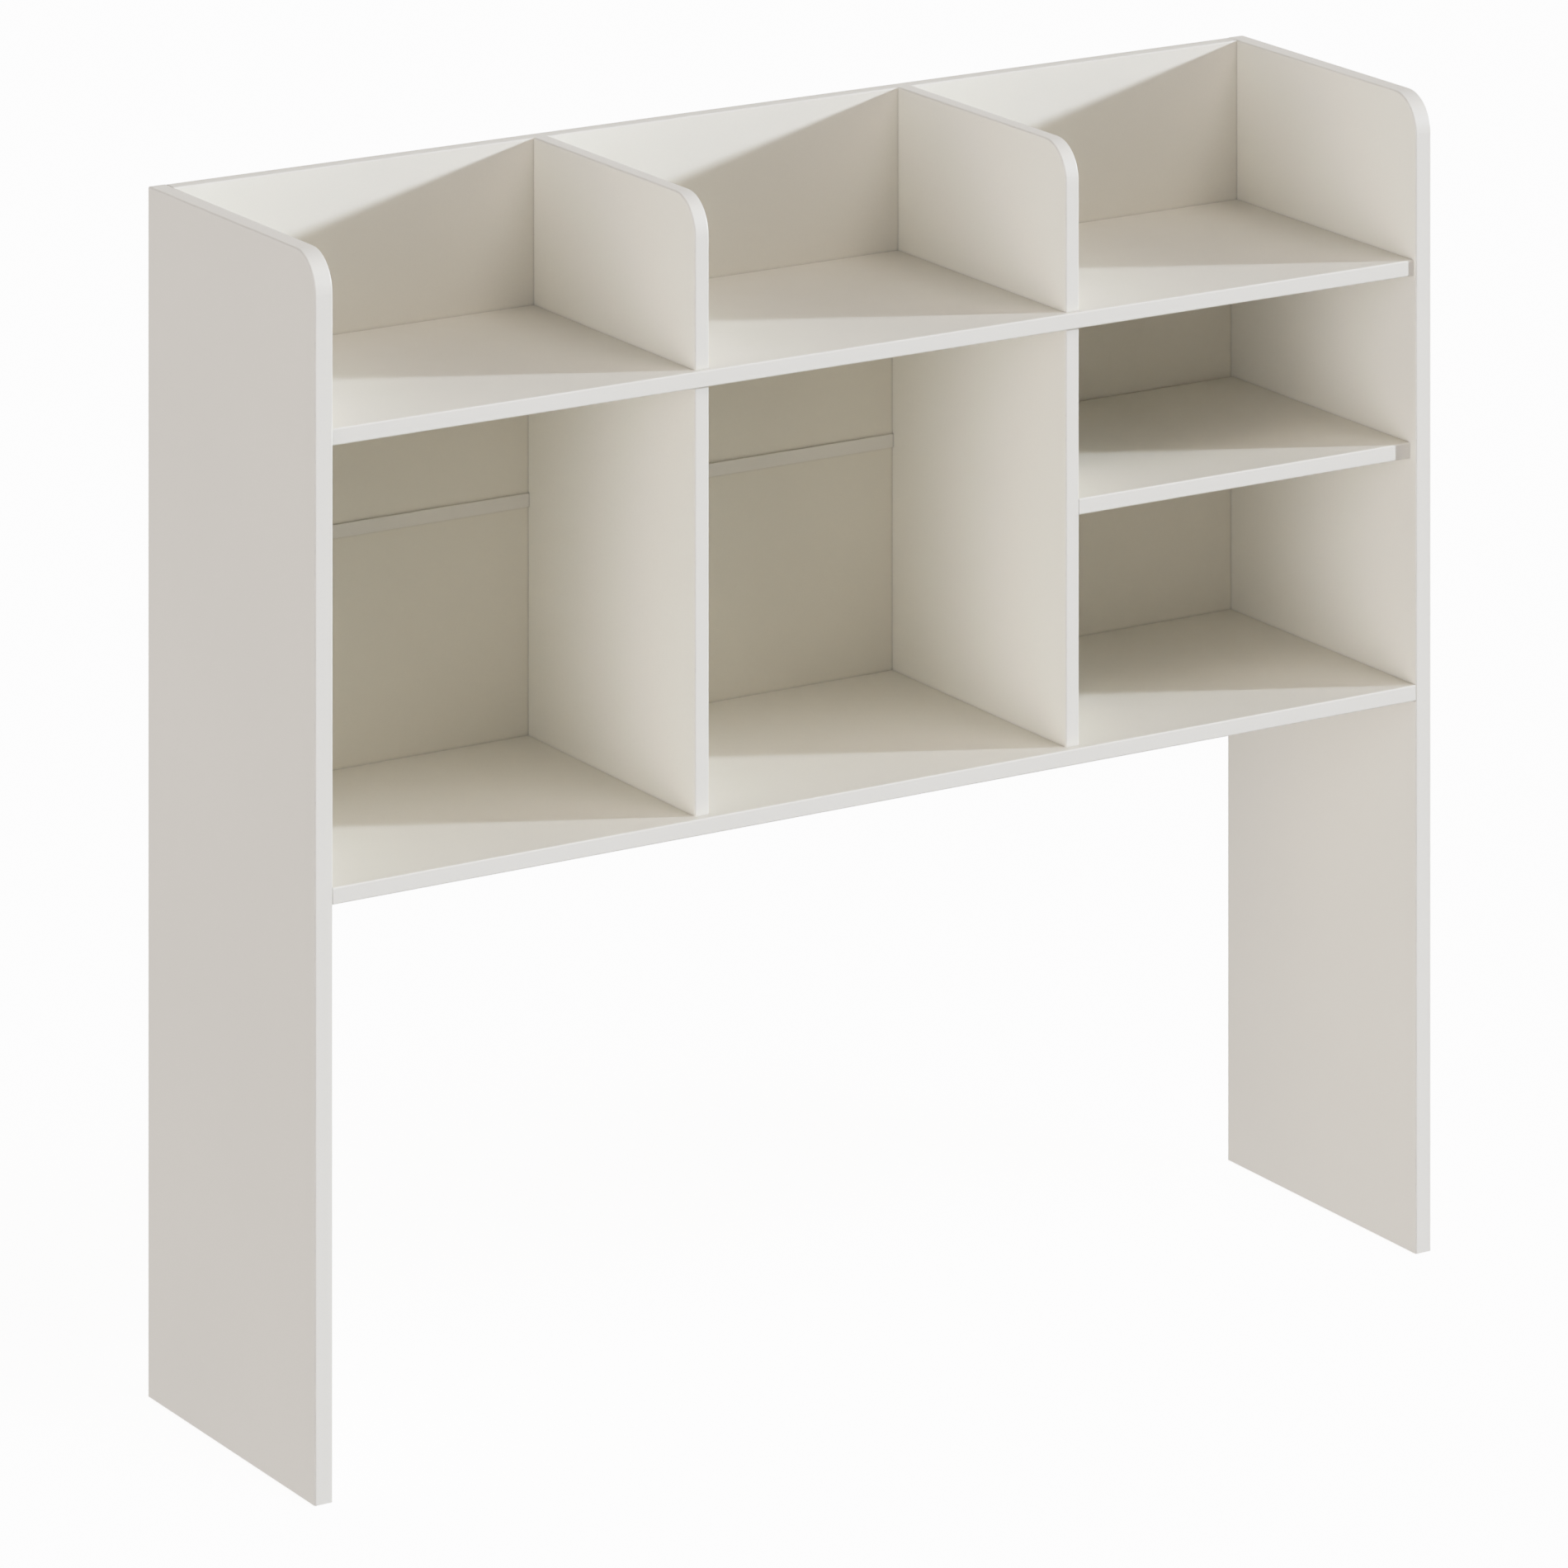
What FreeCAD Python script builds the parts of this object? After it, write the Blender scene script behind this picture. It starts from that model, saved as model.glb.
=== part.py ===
"""Desk hutch: a flat-pack open bookcase on two tall side panels, made to stand on a desk top.

Millimetres, +Z up. The origin is on the ground plane at the middle of the width and of the depth,
the front faces -Y and +X is to the right. Each board is a core with its own glued-on edge band, and
the boards are held together by cam bolts, wooden dowels and screws in drilled holes.
"""

import FreeCAD, Part
import math
import os

from FreeCAD import Vector

# Whole object
overall_width = 1200.0
overall_depth = 308.0
overall_height = 1088.0

# Boards
side_thickness = 18.0
board_thickness = 15.0
corner_radius = 35.0
band_thickness = 2.0
arris_radius = 1.5

# Layout, measured from the ground and from the front edges of the side panels
leg_clearance = 520.0
lower_tier_height = 384.0
outer_bay_width = 375.0
long_shelf_setback = 3.5
divider_setback = 9.0
middle_shelf_clearance = 211.0
middle_shelf_back_gap = 8.0

# Thin back sheets and the H-section strip that joins them
sheet_thickness = 3.0
sheet_recess = 2.0
sheet_edge_gap = 1.0
rebate_width = 8.0
sheet_joint_gap = 0.25
sheet_joint_height = 752.5
strip_height = 12.5
strip_web = 1.5
strip_front_flange = 2.0
strip_back_flange = 1.5
strip_rounding = 0.6
strip_notch_clearance = 0.5

# Cam joint
cam_radius = 7.5
cam_height = 12.0
cam_distance = 34.0
cam_sunk = 0.5
cam_cavity = 8.6
cam_wall = 1.5
cam_mouth_overrun = 1.0
cam_cross_radius = 5.0
bolt_thread_radius = 2.5
bolt_thread_length = 10.5
bolt_collar_radius = 3.5
bolt_collar_length = 2.0
bolt_shank_radius = 2.0
bolt_head_radius = 3.4
bolt_head_length = 3.0
bolt_hole_radius = 4.0
cap_radius = 8.75
small_cap_radius = 6.75
cap_height = 1.0
cap_rounding = 0.5

# Wooden dowel
dowel_radius = 4.0
dowel_in_panel = 9.5
dowel_in_board = 20.0
dowel_chamfer = 0.8

# Screws: divider screw, back board screw and sheet screw
divider_screw_head_radius = 5.0
divider_screw_shank_radius = 3.4
divider_screw_thread_radius = 2.4
divider_screw_length = 50.0
divider_screw_sunk = 1.0
divider_screw_cross_radius = 3.0
board_screw_head_radius = 4.0
board_screw_radius = 2.0
board_screw_length = 40.0
board_screw_cross_radius = 2.5
sheet_screw_head_radius = 3.0
sheet_screw_head_height = 1.6
sheet_screw_radius = 1.4
sheet_screw_length = 14.0
sheet_screw_rounding = 0.8
sheet_screw_cross_radius = 2.0
head_height = 3.0
recess_width = 1.1
recess_depth = 1.2

# Fit between hardware and its holes, and the spare depth at a blind hole's end
hole_clearance = 0.05
blind_end = 0.5

# Rows of fittings, measured back from the front edges of the side panels
outer_row = (60.0, 245.0)
dowel_row = (92.0, 213.0)
inner_row = (100.0, 205.0)
middle_row = 152.5

# Rows of fittings up the back, as shares of a height, and the sheet screws along a shelf
back_board_shares = (0.27, 0.73)
sheet_side_shares = (0.3, 0.7)
screws_per_shelf = 7
sheet_screw_inset = 20.0

same_place = 1e-6

# Places worked out from the dimensions above
half_width = overall_width / 2
inner_x = half_width - side_thickness
front_y = -overall_depth / 2
back_y = overall_depth / 2
sheet_back_y = back_y - sheet_recess
sheet_front_y = sheet_back_y - sheet_thickness
back_board_front_y = back_y - board_thickness
middle_shelf_back_y = back_y - middle_shelf_back_gap
bottom_shelf_z = leg_clearance
lower_floor_z = bottom_shelf_z + board_thickness
long_shelf_z = lower_floor_z + lower_tier_height
upper_floor_z = long_shelf_z + board_thickness
middle_shelf_z = lower_floor_z + middle_shelf_clearance
divider_x = inner_x - outer_bay_width - board_thickness / 2

RIGHT = Vector(1, 0, 0)
BACK = Vector(0, 1, 0)
UP = Vector(0, 0, 1)
SIDES = {"left": -1, "right": 1}

boards = {}
bands = {}
cuts = {}
hardware = {
    "cam_bolts": [],
    "cam_locks": [],
    "cam_cover_caps": [],
    "wooden_dowels": [],
    "divider_screws": [],
    "divider_screw_caps": [],
    "back_board_screws": [],
    "back_sheet_screws": [],
}


def box(low, high):
    """A box between two opposite corners."""
    size = Vector(*high) - Vector(*low)
    return Part.makeBox(size.x, size.y, size.z, Vector(*low))


def rod(radius, start, end):
    """A cylinder along the local X axis."""
    return Part.makeCylinder(radius, end - start, Vector(start, 0, 0), RIGHT)


def placed(shape, origin, into, face):
    """Puts a joint piece, drawn with +X along its bolt and +Z out of the drilled face, in the hutch."""
    side = face.cross(into)
    matrix = FreeCAD.Matrix(
        into.x, side.x, face.x, origin.x,
        into.y, side.y, face.y, origin.y,
        into.z, side.z, face.z, origin.z,
        0, 0, 0, 1,
    )
    moved = shape.copy()
    moved.Placement = FreeCAD.Placement(matrix)
    return moved


def drill(board, cutter):
    """Remembers a hole or notch that is cut from a board's core at the end."""
    cuts.setdefault(board, []).append(cutter)


# Boards and edge bands


def add_board(name, outer, core, is_banded):
    """Stores a board's core, and the rounded band round it where is_banded is true for an edge."""
    edges = [edge for edge in outer.Edges if is_banded(edge)]
    boards[name] = core
    bands[name + "_edge_band"] = outer.makeFillet(arris_radius, edges).cut(core)


def edge_middle(edge):
    """The point half-way along an edge."""
    return edge.valueAt((edge.FirstParameter + edge.LastParameter) / 2)


def near(first, second):
    """True where two lengths are the same but for rounding."""
    return abs(first - second) < same_place


def add_shelf(name, x_range, y_range, z_low):
    """A level board, banded along its front edge."""
    z_high = z_low + board_thickness
    y_front, y_end = y_range
    outer = box((x_range[0], y_front, z_low), (x_range[1], y_end, z_high))
    core = box((x_range[0], y_front + band_thickness, z_low), (x_range[1], y_end, z_high))

    def is_banded(edge):
        middle = edge_middle(edge)
        return near(middle.y, y_front) and not near(abs(middle.z - z_low), board_thickness / 2)

    add_board(name, outer, core, is_banded)


def add_lower_divider(name, x_middle):
    """An upright board between the two full-width shelves, banded along its front edge."""
    x_low = x_middle - board_thickness / 2
    x_high = x_middle + board_thickness / 2
    y_front = front_y + divider_setback
    outer = box((x_low, y_front, lower_floor_z), (x_high, sheet_front_y, long_shelf_z))
    core = box((x_low, y_front + band_thickness, lower_floor_z), (x_high, sheet_front_y, long_shelf_z))

    def is_banded(edge):
        middle = edge_middle(edge)
        return near(middle.y, y_front) and not near(middle.x, x_middle)

    add_board(name, outer, core, is_banded)


def rounded_upright(x_low, thickness, y_front, y_end, z_low, z_high, radius):
    """An upright board whose top front corner is rounded."""
    start = Vector(x_low, y_front, z_high - radius)
    end = Vector(x_low, y_front + radius, z_high)
    middle = Vector(
        x_low,
        y_front + radius * (1 - math.sqrt(0.5)),
        z_high - radius * (1 - math.sqrt(0.5)),
    )
    corners = [Vector(x_low, y_end, z_high), Vector(x_low, y_end, z_low), Vector(x_low, y_front, z_low)]
    outline = [Part.Arc(start, middle, end).toShape()]
    for first, second in zip([end] + corners, corners + [start]):
        outline.append(Part.makeLine(first, second))
    return Part.Face(Part.Wire(outline)).extrude(RIGHT * thickness)


def add_upright(name, x_low, thickness, y_front, y_end, z_low):
    """An upright board with a rounded corner, banded along its front, round the corner and on top."""
    outer = rounded_upright(x_low, thickness, y_front, y_end, z_low, overall_height, corner_radius)
    core = rounded_upright(
        x_low,
        thickness,
        y_front + band_thickness,
        y_end,
        z_low,
        overall_height - band_thickness,
        corner_radius - band_thickness,
    )

    def is_banded(edge):
        middle = edge_middle(edge)
        on_a_face = not near(middle.x, x_low + thickness / 2)
        return on_a_face and not near(middle.z, z_low) and not near(middle.y, y_end)

    add_board(name, outer, core, is_banded)


def add_upper_back_board():
    """The thick board behind the top tier, banded along its top edge."""
    low = (-inner_x, back_board_front_y, upper_floor_z)
    outer = box(low, (inner_x, back_y, overall_height))
    core = box(low, (inner_x, back_y, overall_height - band_thickness))

    def is_banded(edge):
        middle = edge_middle(edge)
        return near(middle.z, overall_height) and near(middle.x, 0)

    add_board("upper_back_board", outer, core, is_banded)


# Back sheets


def back_sheet(z_low, z_high):
    """A thin sheet whose two ends lie in the side panels' rebates."""
    half = inner_x + rebate_width - sheet_edge_gap
    return box((-half, sheet_front_y, z_low), (half, sheet_back_y, z_high))


def joining_strip():
    """An H-section strip: two flanges with a web between the sheets' edges."""
    half = inner_x - sheet_edge_gap
    z_low = sheet_joint_height - strip_height / 2
    z_high = sheet_joint_height + strip_height / 2
    front = box((-half, sheet_front_y - strip_front_flange, z_low), (half, sheet_front_y, z_high))
    back = box((-half, sheet_back_y, z_low), (half, sheet_back_y + strip_back_flange, z_high))
    web = box(
        (-half, sheet_front_y, sheet_joint_height - strip_web / 2),
        (half, sheet_back_y, sheet_joint_height + strip_web / 2),
    )
    outer_faces = (sheet_front_y - strip_front_flange, sheet_back_y + strip_back_flange)
    strip = front.fuse([web, back]).removeSplitter()
    edges = []
    for edge in strip.Edges:
        middle = edge_middle(edge)
        if near(middle.x, 0) and any(near(middle.y, y) for y in outer_faces):
            edges.append(edge)
    return strip.makeFillet(strip_rounding, edges)


def cut_back_sheet_seats():
    """Cuts the side panels' rebates for the sheets and the lower dividers' notches for the strip."""
    for name, sign in SIDES.items():
        x_ends = sorted((sign * inner_x, sign * (inner_x + rebate_width)))
        rebate = box((x_ends[0], sheet_front_y, bottom_shelf_z), (x_ends[1], back_y, upper_floor_z))
        drill(name + "_side_panel", rebate)
        x_middle = sign * divider_x
        z_half = strip_height / 2 + strip_notch_clearance
        notch = box(
            (x_middle - board_thickness / 2, sheet_front_y - strip_front_flange, sheet_joint_height - z_half),
            (x_middle + board_thickness / 2, sheet_front_y, sheet_joint_height + z_half),
        )
        drill("lower_divider_" + name, notch)


# Fittings, drawn on the local axes that placed() describes


def cross_recess(radius):
    """The cross-shaped driver recess, sunk below the local plane x = 0."""
    arm = box((0, -radius, -recess_width / 2), (recess_depth, radius, recess_width / 2))
    other_arm = box((0, -recess_width / 2, -radius), (recess_depth, recess_width / 2, radius))
    return arm.fuse(other_arm)


def cam_bolt():
    """A bolt screwed into one board, whose head stands inside the cam in the other board."""
    thread = rod(bolt_thread_radius, -bolt_thread_length, 0)
    collar = rod(bolt_collar_radius, 0, bolt_collar_length)
    shank = rod(bolt_shank_radius, bolt_collar_length, cam_distance - bolt_head_length)
    head = rod(bolt_head_radius, cam_distance - bolt_head_length, cam_distance)
    return thread.fuse([collar, shank, head])


def cam_top():
    """How far the cam's top lies above the bolt's axis."""
    return board_thickness / 2 - cam_sunk


def cam_lock():
    """A round cam, hollow for the bolt's head and open on the bolt's side, with a driver cross on top."""
    top = cam_top()
    body = Part.makeCylinder(cam_radius, cam_height, Vector(cam_distance, 0, top - cam_height))
    half = cam_cavity / 2
    cavity = Part.makeCylinder(cam_radius - cam_wall, cam_cavity, Vector(cam_distance, 0, -half))
    mouth_start = cam_distance - cam_radius - cam_mouth_overrun
    mouth = box((mouth_start, -half, -half), (cam_distance, half, half))
    cross = placed(cross_recess(cam_cross_radius), Vector(cam_distance, 0, top), -UP, RIGHT)
    return body.cut([cavity, mouth, cross])


def cam_cap():
    """A round press-on cap that hides the cam, with a softened rim."""
    cap = Part.makeCylinder(cap_radius, cap_height, Vector(cam_distance, 0, board_thickness / 2))
    rim = [edge for edge in cap.Edges if near(edge.CenterOfMass.z, board_thickness / 2 + cap_height)]
    return cap.makeFillet(cap_rounding, rim)


def add_cam_joint(panel, board, origin, into, face, capped=True):
    """Bolts a board's end to a panel: the bolt is in the panel, the cam is sunk in the board's face."""
    hardware["cam_bolts"].append(placed(cam_bolt(), origin, into, face))
    hardware["cam_locks"].append(placed(cam_lock(), origin, into, face))
    if capped:
        hardware["cam_cover_caps"].append(placed(cam_cap(), origin, into, face))
    bolt_seat = rod(bolt_thread_radius + hole_clearance, -bolt_thread_length - blind_end, 0)
    bolt_passage = rod(bolt_hole_radius, 0, cam_distance)
    cam_seat = Part.makeCylinder(
        cam_radius + hole_clearance,
        cam_height + cam_sunk + blind_end,
        Vector(cam_distance, 0, cam_top() - cam_height - blind_end),
    )
    drill(panel, placed(bolt_seat, origin, into, face))
    drill(board, placed(bolt_passage.fuse(cam_seat), origin, into, face))


def wooden_dowel():
    """A plain dowel with chamfered ends, a third of it in the panel and the rest in the board."""
    body = rod(dowel_radius, -dowel_in_panel, dowel_in_board)
    rims = [edge for edge in body.Edges if edge.Closed]
    return body.makeChamfer(dowel_chamfer, rims)


def add_dowel_joint(panel, board, origin, into, face):
    """A dowel glued half in a panel's face and half in a board's end."""
    radius = dowel_radius + hole_clearance
    hardware["wooden_dowels"].append(placed(wooden_dowel(), origin, into, face))
    panel_hole = rod(radius, -dowel_in_panel - blind_end, 0)
    board_hole = rod(radius, 0, dowel_in_board + blind_end)
    drill(panel, placed(panel_hole, origin, into, face))
    drill(board, placed(board_hole, origin, into, face))


def divider_screw():
    """A thick shouldered screw whose head is sunk in the outer face of the board it passes through."""
    start = -board_thickness + divider_screw_sunk
    head = Part.makeCone(
        divider_screw_head_radius, divider_screw_shank_radius, head_height, Vector(start, 0, 0), RIGHT
    )
    shank = rod(divider_screw_shank_radius, start + head_height, 0)
    thread = rod(divider_screw_thread_radius, 0, start + divider_screw_length)
    recess = cross_recess(divider_screw_cross_radius).translate(Vector(start, 0, 0))
    return head.fuse([shank, thread]).cut(recess)


def divider_screw_cap():
    """A round cap pressed over a sunk screw head."""
    face_x = -board_thickness
    cap = rod(small_cap_radius, face_x - cap_height, face_x)
    rim = [edge for edge in cap.Edges if near(edge.CenterOfMass.x, face_x - cap_height)]
    return cap.makeFillet(cap_rounding, rim)


def add_divider_screw(panel, board, origin, into, face, capped):
    """Screws through a shelf into the end of a divider."""
    hardware["divider_screws"].append(placed(divider_screw(), origin, into, face))
    if capped:
        hardware["divider_screw_caps"].append(placed(divider_screw_cap(), origin, into, face))
    start = -board_thickness + divider_screw_sunk
    head_radius = divider_screw_head_radius + hole_clearance
    shank_radius = divider_screw_shank_radius + hole_clearance
    mouth = rod(head_radius, -board_thickness, start)
    sink = Part.makeCone(head_radius, shank_radius, head_height, Vector(start, 0, 0), RIGHT)
    passage = rod(shank_radius, start + head_height, 0)
    pilot = rod(divider_screw_thread_radius + hole_clearance, 0, start + divider_screw_length + blind_end)
    drill(panel, placed(mouth.fuse([sink, passage]), origin, into, face))
    drill(board, placed(pilot, origin, into, face))


def add_board_screw(origin, divider):
    """Screws from the rear through the upper back board into an upper divider."""
    start = Vector(0, 0, 0)
    head = Part.makeCone(board_screw_head_radius, board_screw_radius, head_height, start, RIGHT)
    shank = rod(board_screw_radius, head_height, board_screw_length)
    screw = head.fuse(shank).cut(cross_recess(board_screw_cross_radius))
    hardware["back_board_screws"].append(placed(screw, origin, -BACK, UP))
    sink = Part.makeCone(
        board_screw_head_radius + hole_clearance,
        board_screw_radius + hole_clearance,
        head_height,
        start,
        RIGHT,
    )
    bore = rod(board_screw_radius + hole_clearance, 0, board_screw_length + blind_end)
    drill("upper_back_board", placed(sink.fuse(bore), origin, -BACK, UP))
    drill(divider, placed(bore, origin, -BACK, UP))


def add_sheet_screw(x, z, sheet, holder):
    """A small pan-head screw through a back sheet into the board edge behind it."""
    origin = Vector(x, sheet_back_y, z)
    head = rod(sheet_screw_head_radius, -sheet_screw_head_height, 0)
    rim = [edge for edge in head.Edges if near(edge.CenterOfMass.x, -sheet_screw_head_height)]
    head = head.makeFillet(sheet_screw_rounding, rim)
    shank = rod(sheet_screw_radius, 0, sheet_screw_length)
    recess = cross_recess(sheet_screw_cross_radius).translate(Vector(-sheet_screw_head_height, 0, 0))
    hardware["back_sheet_screws"].append(placed(head.fuse(shank).cut(recess), origin, -BACK, UP))
    bore = rod(sheet_screw_radius + hole_clearance, 0, sheet_screw_length + blind_end)
    drill(sheet, placed(bore, origin, -BACK, UP))
    drill(holder, placed(bore, origin, -BACK, UP))


# The boards of the hutch


def make_boards():
    """All the boards, the back sheets and their strip."""
    for name, sign in SIDES.items():
        side_low = -half_width if sign < 0 else inner_x
        add_upright(name + "_side_panel", side_low, side_thickness, front_y, back_y, 0)
        add_lower_divider("lower_divider_" + name, sign * divider_x)
        divider_low = sign * divider_x - board_thickness / 2
        divider_front = front_y + divider_setback
        add_upright(
            "upper_divider_" + name,
            divider_low,
            board_thickness,
            divider_front,
            back_board_front_y,
            upper_floor_z,
        )
    full_width = (-inner_x, inner_x)
    right_bay = (divider_x + board_thickness / 2, inner_x)
    add_shelf("bottom_shelf", full_width, (front_y, sheet_front_y), bottom_shelf_z)
    add_shelf("long_shelf", full_width, (front_y + long_shelf_setback, sheet_front_y), long_shelf_z)
    middle_depth = (front_y + divider_setback, middle_shelf_back_y)
    add_shelf("middle_shelf", right_bay, middle_depth, middle_shelf_z)
    add_upper_back_board()
    half_gap = strip_web / 2 + sheet_joint_gap
    lower_edge = bottom_shelf_z + sheet_edge_gap
    upper_edge = upper_floor_z - sheet_edge_gap
    boards["back_sheet_lower"] = back_sheet(lower_edge, sheet_joint_height - half_gap)
    boards["back_sheet_upper"] = back_sheet(sheet_joint_height + half_gap, upper_edge)
    boards["back_joining_strip"] = joining_strip()
    cut_back_sheet_seats()


def join_shelf_end(panel, shelf, x, into, z):
    """The cam bolts and dowels between one end of a shelf and the upright it meets."""
    for offset in outer_row:
        add_cam_joint(panel, shelf, Vector(x, front_y + offset, z), into, -UP)
    for offset in dowel_row:
        add_dowel_joint(panel, shelf, Vector(x, front_y + offset, z), into, -UP)


def join_shelves():
    """Joins the shelves to the side panels, and the middle shelf to the right-hand lower divider too."""
    middle = board_thickness / 2
    for name, sign in SIDES.items():
        for shelf, z_low in (("bottom_shelf", bottom_shelf_z), ("long_shelf", long_shelf_z)):
            join_shelf_end(name + "_side_panel", shelf, sign * inner_x, RIGHT * -sign, z_low + middle)
    shelf_z = middle_shelf_z + middle
    join_shelf_end("lower_divider_right", "middle_shelf", divider_x + middle, RIGHT, shelf_z)
    join_shelf_end("right_side_panel", "middle_shelf", inner_x, -RIGHT, shelf_z)


def join_dividers():
    """Joins the dividers to the two full-width shelves."""
    for name, sign in SIDES.items():
        x = sign * divider_x
        lower = "lower_divider_" + name
        upper = "upper_divider_" + name
        for offset in outer_row:
            y = front_y + offset
            add_divider_screw("bottom_shelf", lower, Vector(x, y, lower_floor_z), UP, RIGHT, True)
            add_divider_screw("long_shelf", upper, Vector(x, y, upper_floor_z), UP, RIGHT, False)
        for offset in inner_row:
            y = front_y + offset
            add_dowel_joint("bottom_shelf", lower, Vector(x, y, lower_floor_z), UP, RIGHT)
            add_cam_joint("long_shelf", lower, Vector(x, y, long_shelf_z), -UP, RIGHT)
        top = Vector(x, front_y + middle_row, long_shelf_z)
        add_dowel_joint("long_shelf", lower, top, -UP, RIGHT)


def join_upper_back_board():
    """Joins the upper back board to the side panels and the upper dividers."""
    y = back_y - board_thickness / 2
    low = upper_floor_z
    tier_height = overall_height - upper_floor_z
    for name, sign in SIDES.items():
        panel = name + "_side_panel"
        into = RIGHT * -sign
        for share in back_board_shares:
            origin = Vector(sign * inner_x, y, low + share * tier_height)
            add_cam_joint(panel, "upper_back_board", origin, into, BACK, capped=False)
            divider_point = Vector(sign * divider_x, back_y, low + share * tier_height)
            add_board_screw(divider_point, "upper_divider_" + name)
        middle = Vector(sign * inner_x, y, low + tier_height / 2)
        add_dowel_joint(panel, "upper_back_board", middle, into, BACK)


def join_back_sheets():
    """Screws the sheets to the shelves' and dividers' back edges and to the side panels' rebates."""
    outermost_x = inner_x - sheet_screw_inset
    spacing = 2 * outermost_x / (screws_per_shelf - 1)
    middle = board_thickness / 2
    for index in range(screws_per_shelf):
        x = index * spacing - outermost_x
        add_sheet_screw(x, bottom_shelf_z + middle, "back_sheet_lower", "bottom_shelf")
        add_sheet_screw(x, long_shelf_z + middle, "back_sheet_upper", "long_shelf")
    sheets = {
        "back_sheet_lower": (lower_floor_z, sheet_joint_height),
        "back_sheet_upper": (sheet_joint_height, long_shelf_z),
    }
    for sheet, (low, high) in sheets.items():
        for share in sheet_side_shares:
            z = low + share * (high - low)
            for name, sign in SIDES.items():
                add_sheet_screw(sign * divider_x, z, sheet, "lower_divider_" + name)
                rebate_x = sign * (inner_x + rebate_width / 2)
                add_sheet_screw(rebate_x, z, sheet, name + "_side_panel")


def export():
    """Cuts the holes and notches, and writes one STEP file for each node."""
    os.makedirs("parts", exist_ok=True)
    for name, shape in boards.items():
        if name in cuts:
            shape = shape.cut(cuts[name])
        shape.exportStep("parts/" + name + ".step")
    for name, shape in bands.items():
        shape.exportStep("parts/" + name + ".step")
    for name, solids in hardware.items():
        Part.makeCompound(solids).exportStep("parts/" + name + ".step")


make_boards()
join_shelves()
join_dividers()
join_upper_back_board()
join_back_sheets()
export()
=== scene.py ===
import math

import bpy
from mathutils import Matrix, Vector


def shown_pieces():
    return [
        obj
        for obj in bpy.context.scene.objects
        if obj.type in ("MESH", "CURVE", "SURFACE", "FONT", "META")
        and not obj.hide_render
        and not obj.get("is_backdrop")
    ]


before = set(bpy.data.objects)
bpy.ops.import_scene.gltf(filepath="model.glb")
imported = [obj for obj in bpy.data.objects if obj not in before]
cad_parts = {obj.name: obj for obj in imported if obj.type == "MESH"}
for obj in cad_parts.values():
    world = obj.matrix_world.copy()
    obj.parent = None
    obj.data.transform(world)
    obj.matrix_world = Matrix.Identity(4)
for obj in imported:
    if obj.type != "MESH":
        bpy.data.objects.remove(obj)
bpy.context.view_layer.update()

# Lengths are in metres and angles in degrees, unless a comment says otherwise.
MILLIMETRE = 0.001

# Camera: it stands level, in front of the hutch and to the left, and its lens is shifted down so that
# uprights stay upright in the picture. The shift is in picture widths.
CAMERA_PLACE = (-4.3823, -6.9695, 2.9432)
CAMERA_TURN = -32.03
CAMERA_LENS_MM = 205.4
CAMERA_SHIFT = -1.6967

# Light. Azimuth 0 is straight in front of the hutch and grows to the right. A soft light's width is
# the fall in the cosine of the angle from its middle over which it dims by a factor of e.
KEY_AZIMUTH = 63.5
KEY_ELEVATION = 11.8
KEY_ANGLE = 3.0
KEY_STRENGTH = 4.22
KEY_COLOUR = (0.80, 0.881, 1.0)
FILL_AZIMUTH = -65.4
FILL_ELEVATION = 0.0
FILL_WIDTH = 0.052
FILL_COLOUR = (6.65, 6.54, 6.83)
OVERHEAD_AZIMUTH = 25.7
OVERHEAD_ELEVATION = 55.4
OVERHEAD_WIDTH = 0.023
OVERHEAD_COLOUR = (5.91, 5.46, 5.30)
BOUNCE_AZIMUTH = 142.4
BOUNCE_ELEVATION = -19.0
BOUNCE_WIDTH = 0.568
BOUNCE_COLOUR = (1.56, 1.51, 1.48)
BACKDROP = 1.6

# Tone: light up to the shoulder is shown as it is, and above it more and more softly, up to the limit.
SHOULDER = 0.3
TONE_LIMIT = 1.2
BRIGHTEST = 4.0
TONE_STEPS = 12

# Floor
FLOOR_HALF_SIZE = 60.0
FLOOR_GLOW = 1.42
FLOOR_GREY = (0.30, 0.30, 0.30)
FLOOR_ROUGHNESS = 0.9

# Paint. Colours are linear.
WARM_WHITE = (0.865, 0.827, 0.735)
PLASTIC_WHITE = (0.865, 0.827, 0.742)
SHEET_WHITE = (0.865, 0.815, 0.695)
SHEET_REAR = (0.60, 0.53, 0.43)
CHIPBOARD = (0.52, 0.38, 0.23)
CHIPBOARD_DARK = (0.24, 0.15, 0.08)
ZINC = (0.66, 0.67, 0.68)
CAST_ZINC = (0.50, 0.50, 0.49)
BEECH = (0.62, 0.42, 0.25)
BEECH_FLECK = (0.38, 0.21, 0.11)

# Surfaces: how big their patterns are, and how deep their relief is
MELAMINE_CLOUD = 250 * MILLIMETRE
MELAMINE_GRAIN = 1.1 * MILLIMETRE
MELAMINE_GRAIN_DEPTH = 0.006 * MILLIMETRE
MELAMINE_MARK = 30 * MILLIMETRE
MELAMINE_MARK_DEPTH = 0.012 * MILLIMETRE
CHIP = 2.5 * MILLIMETRE
CHIP_DEPTH = 0.3 * MILLIMETRE
CHIP_ROUGHNESS = 0.9
BAND_GRAIN = 0.8 * MILLIMETRE
BAND_GRAIN_DEPTH = 0.004 * MILLIMETRE
BAND_RUB = 6 * MILLIMETRE
BAND_RUB_DARKENING = 0.05
BAND_RUB_ROUGHNESS = 0.25
FIBRE = 1.6 * MILLIMETRE
FIBRE_STRETCH = (1.0, 1.0, 2.5)
FIBRE_DEPTH = 0.05 * MILLIMETRE
FIBRE_ROUGHNESS = 0.25
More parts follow.
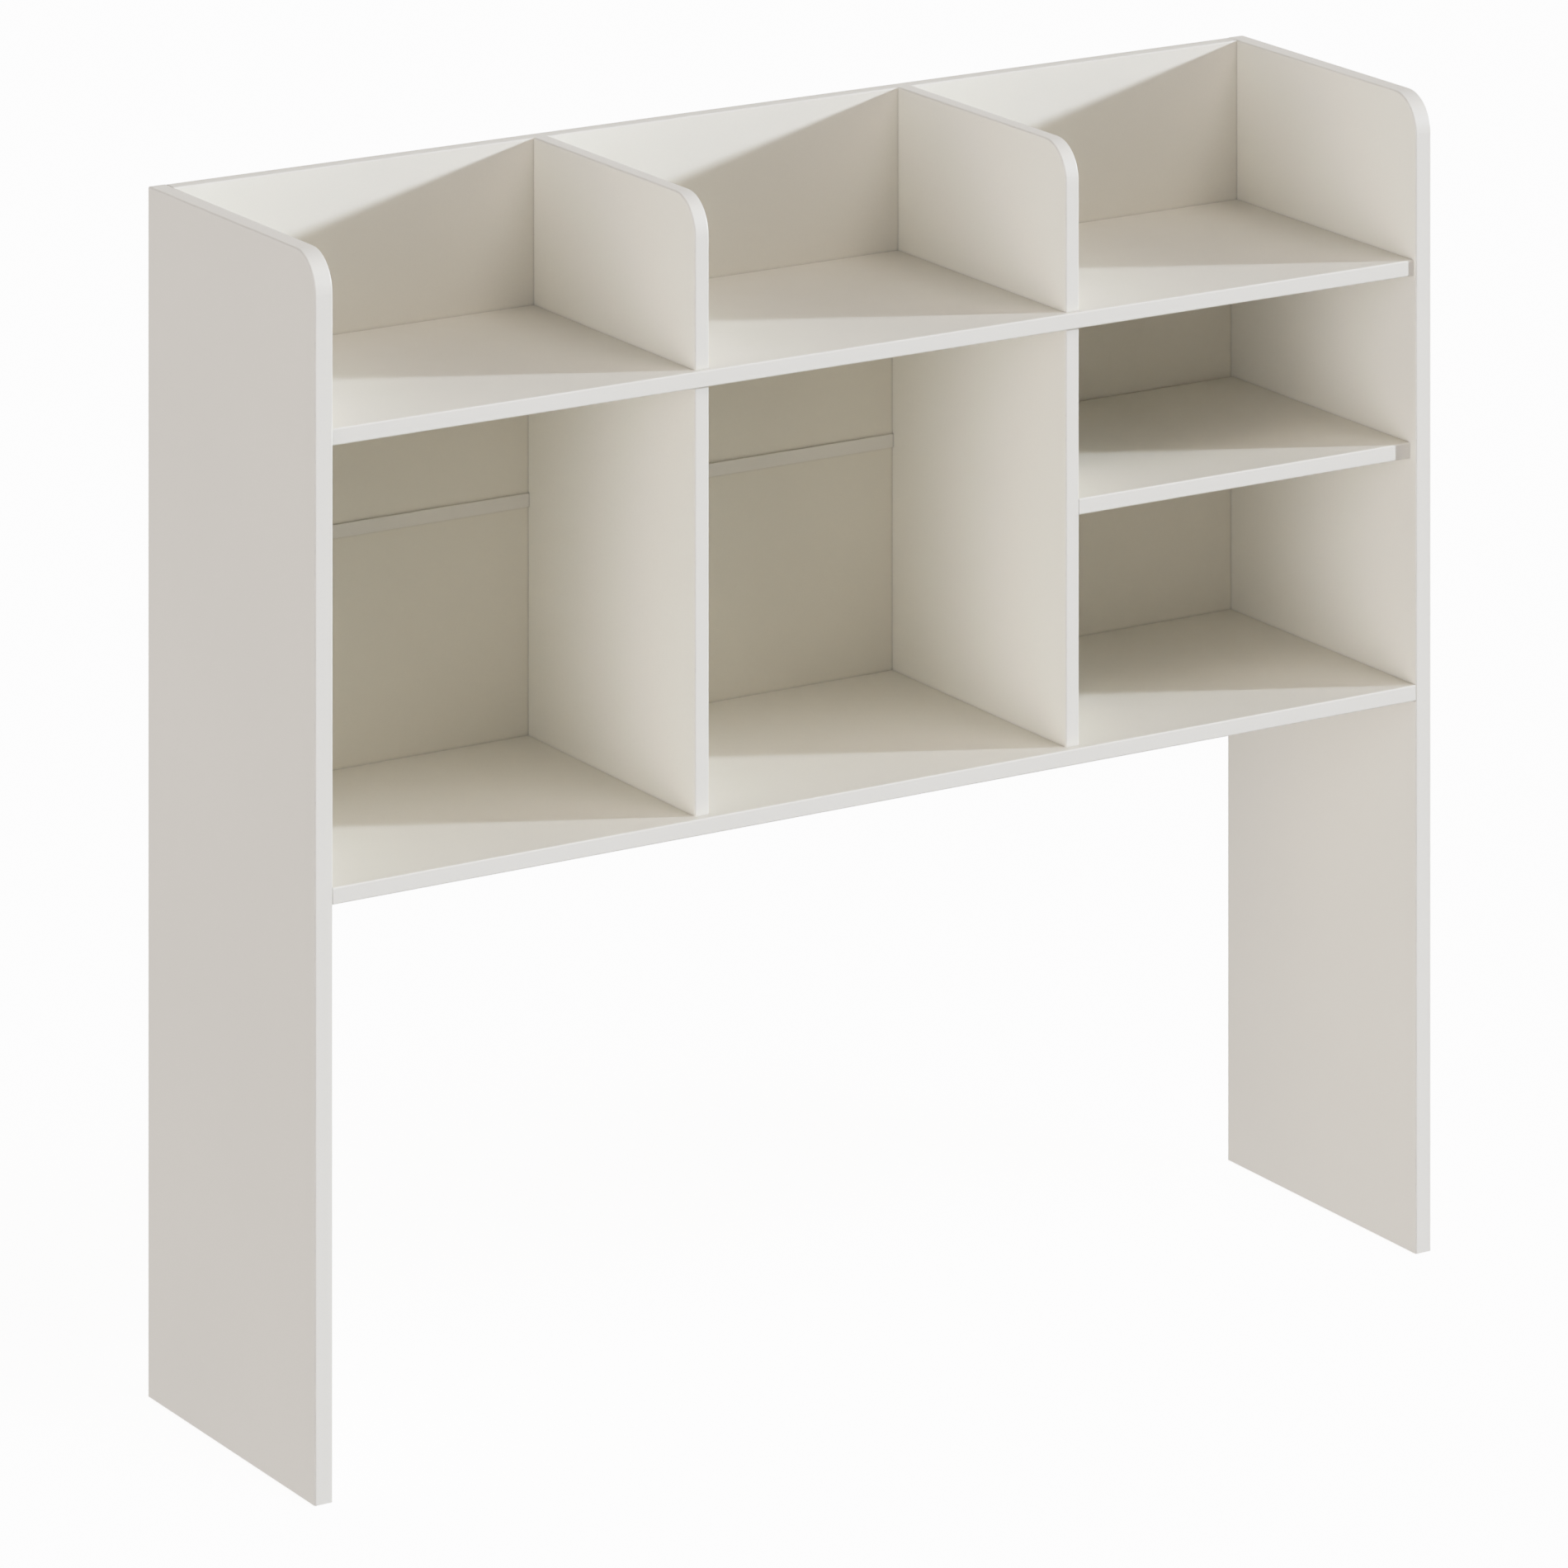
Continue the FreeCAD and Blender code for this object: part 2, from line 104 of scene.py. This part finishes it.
SHEET_MOTTLE = 50 * MILLIMETRE
DRAWN_LINE = 0.5 * MILLIMETRE
DRAWN_LINE_STRETCH = (0.02, 1.0, 1.0)
DRAWN_LINE_DEPTH = 0.01 * MILLIMETRE
PLASTIC_PATCH = 10 * MILLIMETRE
PLATING_PATCH = 1.5 * MILLIMETRE
TURNING_MARK = 0.15 * MILLIMETRE
TURNING_MARK_DEPTH = 0.01 * MILLIMETRE
CAST_PEEL = 0.6 * MILLIMETRE
CAST_PEEL_DEPTH = 0.03 * MILLIMETRE
WOOD_GRAIN = 2 * MILLIMETRE
WOOD_GRAIN_DEPTH = 0.04 * MILLIMETRE
WOOD_FLECK = 0.5 * MILLIMETRE

# Noise keeps mostly to this middle stretch of 0..1.
NOISE_LOW = 0.3
NOISE_HIGH = 0.7

# How far one board's pattern lies from the next board's, so that no two boards look alike
PATTERN_STEP = Vector((0.7, 0.3, 0.0))


class Tree:
    """The node tree of a material or of the world, with a short way to add each kind of node."""

    def __init__(self, owner):
        owner.use_nodes = True
        self.nodes = owner.node_tree.nodes
        self.links = owner.node_tree.links

    def feed(self, socket, value):
        """Puts a number, a colour or another node's output into an input."""
        if isinstance(value, bpy.types.NodeSocket):
            self.links.new(value, socket)
        elif isinstance(value, tuple) and len(value) == 3 and socket.type == "RGBA":
            socket.default_value = (*value, 1.0)
        else:
            socket.default_value = value

    def add(self, kind, inputs=None, **settings):
        node = self.nodes.new("ShaderNode" + kind)
        for name, value in settings.items():
            setattr(node, name, value)
        for name, value in (inputs or {}).items():
            self.feed(node.inputs[name], value)
        return node

    def math(self, operation, first, second=0.0):
        return self.add("Math", {0: first, 1: second}, operation=operation).outputs[0]

    def product(self, first, *others):
        for other in others:
            first = self.math("MULTIPLY", first, other)
        return first

    def place(self, stretch=(1.0, 1.0, 1.0), shift=(0.0, 0.0, 0.0)):
        """The point in the hutch's own frame, in metres, stretched and shifted."""
        point = self.add("TexCoord").outputs["Object"]
        inputs = {"Vector": point, "Scale": stretch, "Location": shift}
        return self.add("Mapping", inputs).outputs["Vector"]

    def noise(self, place, size, detail, distortion=0.0):
        """Noise from 0 to 1 whose patches are about this size in metres."""
        inputs = {"Vector": place, "Scale": 1.0 / size, "Detail": detail, "Distortion": distortion}
        return self.add("TexNoise", inputs).outputs["Fac"]

    def scale(self, value, low, high, start=0.0, end=1.0):
        """Maps start..end to low..high, and holds the value outside."""
        inputs = {
            "Value": value,
            "From Min": start,
            "From Max": end,
            "To Min": low,
            "To Max": high,
        }
        return self.add("MapRange", inputs).outputs["Result"]

    def spread(self, noise, low, high):
        """Maps the stretch that noise keeps to, to low..high."""
        return self.scale(noise, low, high, start=NOISE_LOW, end=NOISE_HIGH)

    def mix(self, factor, first, second):
        """Mixes two colours. The node's colour sockets are inputs 6 and 7 and output 2."""
        node = self.add("Mix", data_type="RGBA")
        self.feed(node.inputs[0], factor)
        self.feed(node.inputs[6], first)
        self.feed(node.inputs[7], second)
        return node.outputs[2]

    def shade(self, colour, brightness):
        """A colour times a brightness."""
        node = self.add("VectorMath", {0: colour, "Scale": brightness}, operation="SCALE")
        return node.outputs["Vector"]

    def bump(self, height, depth, below=None):
        """Relief whose height runs over this depth in metres, laid on top of another relief."""
        inputs = {"Height": height, "Distance": depth, "Strength": 1.0}
        if below is not None:
            inputs["Normal"] = below
        return self.add("Bump", inputs).outputs["Normal"]

    def normal(self):
        """The x, y and z of the surface's own normal."""
        return self.add("SeparateXYZ", {0: self.add("NewGeometry").outputs["Normal"]}).outputs


def new_material(name):
    material = bpy.data.materials.new(name)
    return material, Tree(material)


def finish_shader(tree, colour, roughness, relief, metallic=0.0):
    shader = tree.nodes["Principled BSDF"]
    tree.feed(shader.inputs["Base Color"], colour)
    tree.feed(shader.inputs["Roughness"], roughness)
    tree.feed(shader.inputs["Metallic"], metallic)
    tree.feed(shader.inputs["Normal"], relief)


def painted_joint_shade(tree, reach, darkest):
    """Painted shade in the joints, from ambient occlusion: 1 in the open, down to darkest in a tight
    corner.
    """
    corner = tree.add("AmbientOcclusion", {"Distance": reach}, samples=4).outputs["AO"]
    return tree.scale(corner, darkest, 1.0, start=0.25, end=0.9)


def chipboard(tree):
    """The colour and the height of raw pressed chips."""
    chips = tree.add("TexVoronoi", {"Vector": tree.place(), "Scale": 1.0 / CHIP})
    tone = tree.add("SeparateColor", {0: chips.outputs["Color"]}).outputs[0]
    return tree.mix(tone, CHIPBOARD_DARK, CHIPBOARD), tone


def melamine(name, shift, stands):
    """Matte warm white melamine: faint clouds, a fine pearl grain, and soft handling marks in its sheen.

    A board that stands on the desk shows raw chipboard on its sawn lower end.
    """
    material, tree = new_material(name)
    place = tree.place(shift=shift)
    clouds = tree.noise(place, MELAMINE_CLOUD, detail=1.0)
    grain = tree.noise(place, MELAMINE_GRAIN, detail=2.0)
    marks = tree.noise(place, MELAMINE_MARK, detail=3.0)
    brightness = tree.product(
        tree.spread(clouds, low=0.990, high=1.008),
        tree.spread(grain, low=0.985, high=1.010),
        # The joint factor is painted shade: the board darkens in tight corners and joints.
        painted_joint_shade(tree, reach=3 * MILLIMETRE, darkest=0.75),
    )
    colour = tree.shade(WARM_WHITE, brightness)
    roughness = tree.scale(marks, low=0.43, high=0.55, start=0.35, end=0.7)
    waves = tree.bump(marks, MELAMINE_MARK_DEPTH)
    relief = tree.bump(grain, MELAMINE_GRAIN_DEPTH, below=waves)
    if stands:
        facing_down = tree.scale(tree.normal()["Z"], low=1.0, high=0.0, start=-0.95, end=-0.9)
        height = tree.add("SeparateXYZ", {0: tree.place()}).outputs["Z"]
        at_foot = tree.scale(height, low=1.0, high=0.0, start=0.2 * MILLIMETRE, end=0.4 * MILLIMETRE)
        raw = tree.product(facing_down, at_foot)
        raw_colour, raw_height = chipboard(tree)
        relief = tree.bump(tree.product(raw_height, raw), CHIP_DEPTH, below=relief)
        colour = tree.mix(raw, colour, raw_colour)
        roughness = tree.math("MAXIMUM", roughness, tree.product(raw, CHIP_ROUGHNESS))
    finish_shader(tree, colour, roughness, relief)
    return material


def edge_band(name, level):
    """Slightly smoother plastic edging, rubbed along its rounded arrises.

    A level band's arrises run along x, and an upright band's along z: there the normal leans both
    forwards and across.
    """
    material, tree = new_material(name)
    place = tree.place()
    grain = tree.noise(place, BAND_GRAIN, detail=2.0)
    rubbing = tree.noise(place, BAND_RUB, detail=5.0, distortion=0.8)
    normal = tree.normal()
    across = tree.math("ABSOLUTE", normal["Z"] if level else normal["X"])
    forwards_squared = tree.math("SUBTRACT", 1.0, tree.product(across, across))
    forwards = tree.math("SQRT", tree.math("MAXIMUM", forwards_squared, 0.0))
    arris = tree.scale(tree.product(across, forwards), low=0.0, high=1.0, start=0.15, end=0.45)
    worn = tree.product(arris, tree.scale(rubbing, low=0.0, high=1.0, start=0.56, end=0.70))
    brightness = tree.product(
        tree.spread(grain, low=0.99, high=1.01),
        # The joint factor is painted shade in the band's joints.
        painted_joint_shade(tree, reach=2 * MILLIMETRE, darkest=0.8),
    )
    brightness = tree.math("SUBTRACT", brightness, tree.product(worn, BAND_RUB_DARKENING))
    colour = tree.shade(PLASTIC_WHITE, brightness)
    smooth = tree.scale(grain, low=0.36, high=0.44)
    roughness = tree.math("ADD", smooth, tree.product(worn, BAND_RUB_ROUGHNESS))
    finish_shader(tree, colour, roughness, tree.bump(grain, BAND_GRAIN_DEPTH))
    return material


def back_sheet(name):
    """Thin hardboard: painted white in front, plain and fibrous at the rear."""
    material, tree = new_material(name)
    fibres = tree.noise(tree.place(stretch=FIBRE_STRETCH), FIBRE, detail=5.0, distortion=1.2)
    mottle = tree.noise(tree.place(), SHEET_MOTTLE, detail=4.0, distortion=0.4)
    rear = tree.scale(tree.normal()["Y"], low=0.0, high=1.0, start=0.2, end=0.6)
    front_tone = tree.spread(fibres, low=0.985, high=1.01)
    rear_tone = tree.product(
        tree.spread(fibres, low=0.80, high=1.12),
        tree.scale(mottle, low=0.94, high=1.05),
    )
    colour = tree.mix(rear, tree.shade(SHEET_WHITE, front_tone), tree.shade(SHEET_REAR, rear_tone))
    # The joint factor is painted shade in the sheet's joints.
    colour = tree.shade(colour, painted_joint_shade(tree, reach=3 * MILLIMETRE, darkest=0.7))
    painted = tree.scale(fibres, low=0.46, high=0.54)
    roughness = tree.math("ADD", painted, tree.product(rear, FIBRE_ROUGHNESS))
    height = tree.product(fibres, tree.scale(rear, low=0.1, high=1.0))
    finish_shader(tree, colour, roughness, tree.bump(height, FIBRE_DEPTH))
    return material


def moulded_plastic(name):
    """White moulded or extruded plastic with a satin sheen and fine drawing lines."""
    material, tree = new_material(name)
    lines = tree.noise(tree.place(stretch=DRAWN_LINE_STRETCH), DRAWN_LINE, detail=2.0)
    patches = tree.noise(tree.place(), PLASTIC_PATCH, detail=3.0)
    tone = tree.product(
        tree.spread(lines, low=0.985, high=1.01),
        # The joint factor is painted shade in the plastic's joints and recesses.
        painted_joint_shade(tree, reach=2.5 * MILLIMETRE, darkest=0.6),
    )
    colour = tree.shade(PLASTIC_WHITE, tone)
    roughness = tree.scale(patches, low=0.30, high=0.42)
    finish_shader(tree, colour, roughness, tree.bump(lines, DRAWN_LINE_DEPTH))
    return material


def plated_steel(name):
    """Zinc plating, with turning marks and dull patches."""
    material, tree = new_material(name)
    place = tree.place()
    patches = tree.noise(place, PLATING_PATCH, detail=4.0)
    marks = tree.noise(place, TURNING_MARK, detail=2.0)
    tone = tree.product(
        tree.spread(patches, low=0.82, high=1.08),
        # The joint factor is painted shade, darkest in the steel's tight corners.
        painted_joint_shade(tree, reach=1.5 * MILLIMETRE, darkest=0.3),
    )
    colour = tree.shade(ZINC, tone)
    roughness = tree.spread(patches, low=0.28, high=0.50)
    finish_shader(tree, colour, roughness, tree.bump(marks, TURNING_MARK_DEPTH), metallic=1.0)
    return material


def cast_zinc(name):
    """Grey die-cast zinc with a fine orange-peel skin."""
    material, tree = new_material(name)
    peel = tree.noise(tree.place(), CAST_PEEL, detail=3.0)
    tone = tree.product(
        tree.spread(peel, low=0.85, high=1.1),
        # The joint factor is painted shade, dark in the zinc's recesses.
        painted_joint_shade(tree, reach=2 * MILLIMETRE, darkest=0.25),
    )
    colour = tree.shade(CAST_ZINC, tone)
    roughness = tree.spread(peel, low=0.45, high=0.62)
    finish_shader(tree, colour, roughness, tree.bump(peel, CAST_PEEL_DEPTH), metallic=1.0)
    return material


def beech(name):
    """Plain beech with short dark flecks."""
    material, tree = new_material(name)
    place = tree.place()
    grain = tree.noise(place, WOOD_GRAIN, detail=4.0, distortion=0.5)
    fleck_noise = tree.noise(place, WOOD_FLECK, detail=2.0)
    flecks = tree.scale(fleck_noise, low=0.0, high=1.0, start=0.6, end=0.75)
    wood = tree.shade(BEECH, tree.spread(grain, low=0.85, high=1.1))
    colour = tree.mix(flecks, wood, BEECH_FLECK)
    roughness = tree.scale(grain, low=0.55, high=0.7)
    finish_shader(tree, colour, roughness, tree.bump(grain, WOOD_GRAIN_DEPTH))
    return material


def fitting_materials():
    """The material of each node that is neither a board nor a band, by the node's name."""
    sheet = back_sheet("painted_hardboard")
    steel = plated_steel("plated_steel")
    caps = moulded_plastic("cover_cap_plastic")
    return {
        "back_sheet_lower": sheet,
        "back_sheet_upper": sheet,
        "back_joining_strip": moulded_plastic("joining_strip_plastic"),
        "cam_bolts": steel,
        "cam_locks": cast_zinc("cast_zinc"),
        "cam_cover_caps": caps,
        "wooden_dowels": beech("beech"),
        "divider_screws": steel,
        "divider_screw_caps": caps,
        "back_board_screws": steel,
        "back_sheet_screws": steel,
    }


def paint():
    """Gives every node its material."""
    level_band = edge_band("edge_band_level", True)
    upright_band = edge_band("edge_band_upright", False)
    fittings = fitting_materials()
    for index, (name, node) in enumerate(sorted(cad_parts.items())):
        if name in fittings:
            material = fittings[name]
        elif name.endswith("_edge_band"):
            level = "shelf" in name or "back_board" in name
            material = level_band if level else upright_band
        else:
            stands = name.endswith("side_panel")
            material = melamine("melamine_" + name, index * PATTERN_STEP, stands)
        for slot in node.material_slots:
            slot.material = material


def direction(azimuth, elevation):
    """A unit vector from the hutch towards a light."""
    turn = math.radians(azimuth)
    rise = math.radians(elevation)
    level = math.cos(rise)
    return Vector((math.sin(turn) * level, -math.cos(turn) * level, math.sin(rise)))


def glow(tree, ray, azimuth, elevation, width, colour):
    """A soft round light in the sky: its colour at its middle, fading with the angle from it."""
    towards = tuple(direction(azimuth, elevation))
    along = tree.add("VectorMath", {0: ray, 1: towards}, operation="DOT_PRODUCT").outputs["Value"]
    fall = tree.math("DIVIDE", tree.math("SUBTRACT", along, 1.0), width)
    return tree.shade(colour, tree.math("EXPONENT", fall))


def add_sky():
    """The studio's soft light. The camera itself sees a plain pale backdrop."""
    world = bpy.data.worlds.new("studio")
    bpy.context.scene.world = world
    tree = Tree(world)
    ray = tree.add("TexCoord").outputs["Generated"]
    fill = glow(tree, ray, FILL_AZIMUTH, FILL_ELEVATION, FILL_WIDTH, FILL_COLOUR)
    overhead = glow(tree, ray, OVERHEAD_AZIMUTH, OVERHEAD_ELEVATION, OVERHEAD_WIDTH, OVERHEAD_COLOUR)
    bounce = glow(tree, ray, BOUNCE_AZIMUTH, BOUNCE_ELEVATION, BOUNCE_WIDTH, BOUNCE_COLOUR)
    boxes = tree.add("VectorMath", {0: fill, 1: overhead}, operation="ADD").outputs["Vector"]
    light = tree.add("VectorMath", {0: boxes, 1: bounce}, operation="ADD").outputs["Vector"]
    seen = tree.add("LightPath").outputs["Is Camera Ray"]
    colour = tree.mix(seen, light, (BACKDROP, BACKDROP, BACKDROP))
    tree.feed(tree.nodes["Background"].inputs["Color"], colour)


def add_key():
    """The key light, low on the right.

    It leaves the floor plain. It also leaves the outer right side, which faces it squarely, to the
    soft light, so that the side doesn't bleach.
    """
    data = bpy.data.lights.new("key", "SUN")
    data.energy = KEY_STRENGTH
    data.angle = math.radians(KEY_ANGLE)
    data.color = KEY_COLOUR
    key = bpy.data.objects.new("key", data)
    bpy.context.scene.collection.objects.link(key)
    key.rotation_mode = "QUATERNION"
    key.rotation_quaternion = direction(KEY_AZIMUTH, KEY_ELEVATION).to_track_quat("Z", "Y")
    lit = bpy.data.collections.new("lit_by_key")
    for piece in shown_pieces():
        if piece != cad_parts["right_side_panel"]:
            lit.objects.link(piece)
    key.light_linking.receiver_collection = lit


def add_floor():
    """A plain pale floor that only the camera sees, so that the studio also lights the hutch from below."""
    half = FLOOR_HALF_SIZE
    corners = [(-half, -half, 0), (half, -half, 0), (half, half, 0), (-half, half, 0)]
    mesh = bpy.data.meshes.new("floor")
    mesh.from_pydata(corners, [], [(0, 1, 2, 3)])
    floor = bpy.data.objects.new("floor", mesh)
    floor.location.z = -MILLIMETRE
    bpy.context.scene.collection.objects.link(floor)
    material, tree = new_material("floor")
    shader = tree.nodes["Principled BSDF"]
    tree.feed(shader.inputs["Base Color"], FLOOR_GREY)
    tree.feed(shader.inputs["Roughness"], FLOOR_ROUGHNESS)
    tree.feed(shader.inputs["Specular IOR Level"], 0.0)
    tree.feed(shader.inputs["Emission Color"], (1.0, 1.0, 1.0))
    tree.feed(shader.inputs["Emission Strength"], FLOOR_GLOW)
    mesh.materials.append(material)
    floor.visible_diffuse = False
    floor.visible_glossy = False
    floor.visible_transmission = False
    floor.visible_shadow = False
    floor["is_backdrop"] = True


def shown(light):
    """How bright this much light is shown."""
    if light <= SHOULDER:
        return light
    room = TONE_LIMIT - SHOULDER
    return min(1.0, SHOULDER + room * (1.0 - math.exp((SHOULDER - light) / room)))


def set_tone():
    """Rolls highlights off softly, as a camera does. The curve's points lie closer near the shoulder."""
    settings = bpy.context.scene.view_settings
    settings.view_transform = "Standard"
    settings.use_curve_mapping = True
    mapping = settings.curve_mapping
    mapping.white_level = (BRIGHTEST, BRIGHTEST, BRIGHTEST)
    all_channels = mapping.curves[3]
    points = all_channels.points
    for step in range(TONE_STEPS):
        light = SHOULDER + (BRIGHTEST - SHOULDER) * (step / TONE_STEPS) ** 2
        points.new(light / BRIGHTEST, shown(light))
    points[len(points) - 1].location = (1.0, shown(BRIGHTEST))
    for point in points:
        point.handle_type = "VECTOR"
    mapping.update()


def shift_lens(camera):
    """Shifts the lens only while the camera stands at its own place: another viewpoint aims straight."""
    driver = camera.data.driver_add("shift_y").driver
    height = driver.variables.new()
    height.name = "height"
    height.type = "TRANSFORMS"
    height.targets[0].id = camera
    height.targets[0].transform_type = "LOC_Z"
    height.targets[0].transform_space = "WORLD_SPACE"
    driver.expression = f"{CAMERA_SHIFT} if abs(height - {CAMERA_PLACE[2]}) < {MILLIMETRE} else 0"


def add_camera():
    """The camera at the photographer's viewpoint, looking level."""
    data = bpy.data.cameras.new("camera")
    data.lens = CAMERA_LENS_MM
    data.clip_end = 4 * FLOOR_HALF_SIZE
    camera = bpy.data.objects.new("camera", data)
    bpy.context.scene.collection.objects.link(camera)
    camera.location = CAMERA_PLACE
    camera.rotation_euler = (math.radians(90), 0, math.radians(CAMERA_TURN))
    bpy.context.scene.camera = camera
    shift_lens(camera)


set_tone()
paint()
add_sky()
add_floor()
add_key()
add_camera()
